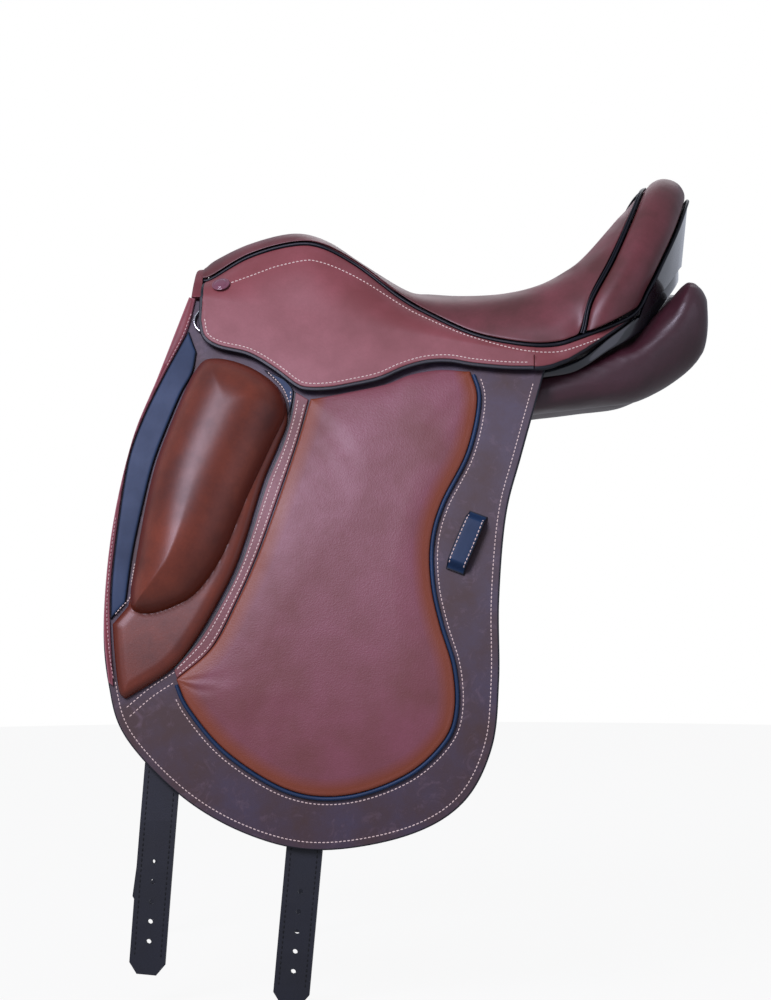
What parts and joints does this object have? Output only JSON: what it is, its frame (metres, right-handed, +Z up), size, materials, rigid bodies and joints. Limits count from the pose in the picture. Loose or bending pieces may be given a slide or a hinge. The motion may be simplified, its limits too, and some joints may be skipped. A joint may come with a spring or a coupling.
{
  "type": "dressage saddle",
  "caption": "Dressage saddle: deep seat with a raised cantle, long straight flaps with knee blocks and grip pads, stuffed panels, stirrup bars and long girth billets.",
  "frame": {"origin": "on the middle plane, on top of the horse's back under the lowest point of the seat; the gullet channel passes above it", "axes": "+Z up, +X rearwards to the cantle, -X forwards to the pommel, +Y to the horse's right (far) side; the near side of the picture is -Y"},
  "size_m": [0.56, 0.4604, 0.7579],
  "materials": {
    "seat_leather": "smooth chestnut, soft sheen",
    "skirt_leather": "smooth chestnut, soft sheen",
    "block_leather": "smooth tan-brown, soft sheen",
    "pad_leather": "grained, matt",
    "flap_leather": "waxed, streaky sheen",
    "panel_leather": "soft dark brown",
    "inlay_leather": "smooth navy-black",
    "piping_leather": "satin navy-black",
    "patent_leather": "patent gloss",
    "billet_leather": "matt black",
    "girth_webbing": "woven",
    "polished_steel": "polished",
    "spring_steel": "satin",
    "seat_foam": "open foam",
    "tree_resin": "moulded"
  },
  "bodies": {
    "saddle": {"cantle_back": "patent_leather", "cantle_roll": "seat_leather", "gusset_welt": "piping_leather", "head_plate": "polished_steel", "left_flap_head": "flap_leather", "left_front_girth_web": "girth_webbing", "left_panel": "panel_leather", "left_rear_girth_web": "girth_webbing", "left_saddle_nail": "seat_leather", "left_skirt_band": "skirt_leather", "left_spring": "spring_steel", "left_stirrup_bar": "polished_steel", "left_sweat_flap": "panel_leather", "pommel_facing": "seat_leather", "rear_facing": "patent_leather", "right_flap_head": "flap_leather", "right_front_girth_web": "girth_webbing", "right_panel": "panel_leather", "right_rear_girth_web": "girth_webbing", "right_saddle_nail": "seat_leather", "right_skirt_band": "skirt_leather", "right_spring": "spring_steel", "right_stirrup_bar": "polished_steel", "right_sweat_flap": "panel_leather", "saddle_tree": "tree_resin", "seat_cover": "seat_leather", "seat_foam": "seat_foam", "seat_welt": "piping_leather"},
    "left_flap": {"left_dee_chape": "billet_leather", "left_flap": "flap_leather", "left_front_binding": "seat_leather", "left_front_inlay": "inlay_leather", "left_grip_pad": "pad_leather", "left_keeper_loop": "patent_leather", "left_knee_block": "block_leather", "left_pad_piping": "piping_leather"},
    "left_skirt": {"left_skirt": "skirt_leather"},
    "left_dee_ring": {"left_dee_ring": "polished_steel"},
    "left_bar_catch": {"left_bar_catch": "polished_steel"},
    "left_front_billet": {"left_front_billet": "billet_leather"},
    "left_rear_billet": {"left_rear_billet": "billet_leather"},
    "right_flap": {"right_dee_chape": "billet_leather", "right_flap": "flap_leather", "right_front_binding": "seat_leather", "right_front_inlay": "inlay_leather", "right_grip_pad": "pad_leather", "right_keeper_loop": "patent_leather", "right_knee_block": "block_leather", "right_pad_piping": "piping_leather"},
    "right_skirt": {"right_skirt": "skirt_leather"},
    "right_dee_ring": {"right_dee_ring": "polished_steel"},
    "right_bar_catch": {"right_bar_catch": "polished_steel"},
    "right_front_billet": {"right_front_billet": "billet_leather"},
    "right_rear_billet": {"right_rear_billet": "billet_leather"}
  },
  "joints": [
    {"name": "left_flap_lift", "type": "hinge", "parent": "saddle", "child": "left_flap", "pos_m": [-0.27644, -0.08945, 0.10897], "axis": [-0.967, 0.1782, 0.182], "range_deg": [0, 90]},
    {"name": "left_skirt_lift", "type": "hinge", "parent": "left_flap", "child": "left_skirt", "pos_m": [-0.27644, -0.08945, 0.10897], "axis": [-0.967, 0.1782, 0.182], "range_deg": [0, 50]},
    {"name": "left_dee_swing", "type": "hinge", "parent": "left_flap", "child": "left_dee_ring", "pos_m": [-0.25648, -0.09651, 0.08328], "axis": [0.2376, 0.3819, 0.8931], "range_deg": [0, 5]},
    {"name": "left_catch_turn", "type": "hinge", "parent": "saddle", "child": "left_bar_catch", "pos_m": [-0.16485, -0.10107, 0.06376], "axis": [-0.0909, -0.9088, 0.4072], "range_deg": [0, 90]},
    {"name": "left_front_billet_swing", "type": "hinge", "parent": "saddle", "child": "left_front_billet", "pos_m": [-0.26792, -0.08388, 0.08016], "axis": [-0.0906, -0.9062, 0.413], "range_deg": [-5, 5]},
    {"name": "left_rear_billet_swing", "type": "hinge", "parent": "saddle", "child": "left_rear_billet", "pos_m": [-0.13121, -0.10885, 0.05474], "axis": [-0.0914, -0.9137, 0.3959], "range_deg": [-5, 5]},
    {"name": "right_flap_lift", "type": "hinge", "parent": "saddle", "child": "right_flap", "pos_m": [-0.27644, 0.08945, 0.10897], "axis": [0.967, 0.1782, -0.182], "range_deg": [0, 90]},
    {"name": "right_skirt_lift", "type": "hinge", "parent": "right_flap", "child": "right_skirt", "pos_m": [-0.27644, 0.08945, 0.10897], "axis": [0.967, 0.1782, -0.182], "range_deg": [0, 50]},
    {"name": "right_dee_swing", "type": "hinge", "parent": "right_flap", "child": "right_dee_ring", "pos_m": [-0.25648, 0.09651, 0.08328], "axis": [-0.2376, 0.3819, -0.8931], "range_deg": [0, 5]},
    {"name": "right_catch_turn", "type": "hinge", "parent": "saddle", "child": "right_bar_catch", "pos_m": [-0.16485, 0.10107, 0.06376], "axis": [0.0909, -0.9088, -0.4072], "range_deg": [0, 90]},
    {"name": "right_front_billet_swing", "type": "hinge", "parent": "saddle", "child": "right_front_billet", "pos_m": [-0.26792, 0.08388, 0.08016], "axis": [0.0906, -0.9062, -0.413], "range_deg": [-5, 5]},
    {"name": "right_rear_billet_swing", "type": "hinge", "parent": "saddle", "child": "right_rear_billet", "pos_m": [-0.13121, 0.10885, 0.05474], "axis": [0.0914, -0.9137, -0.3959], "range_deg": [-5, 5]}
  ]
}
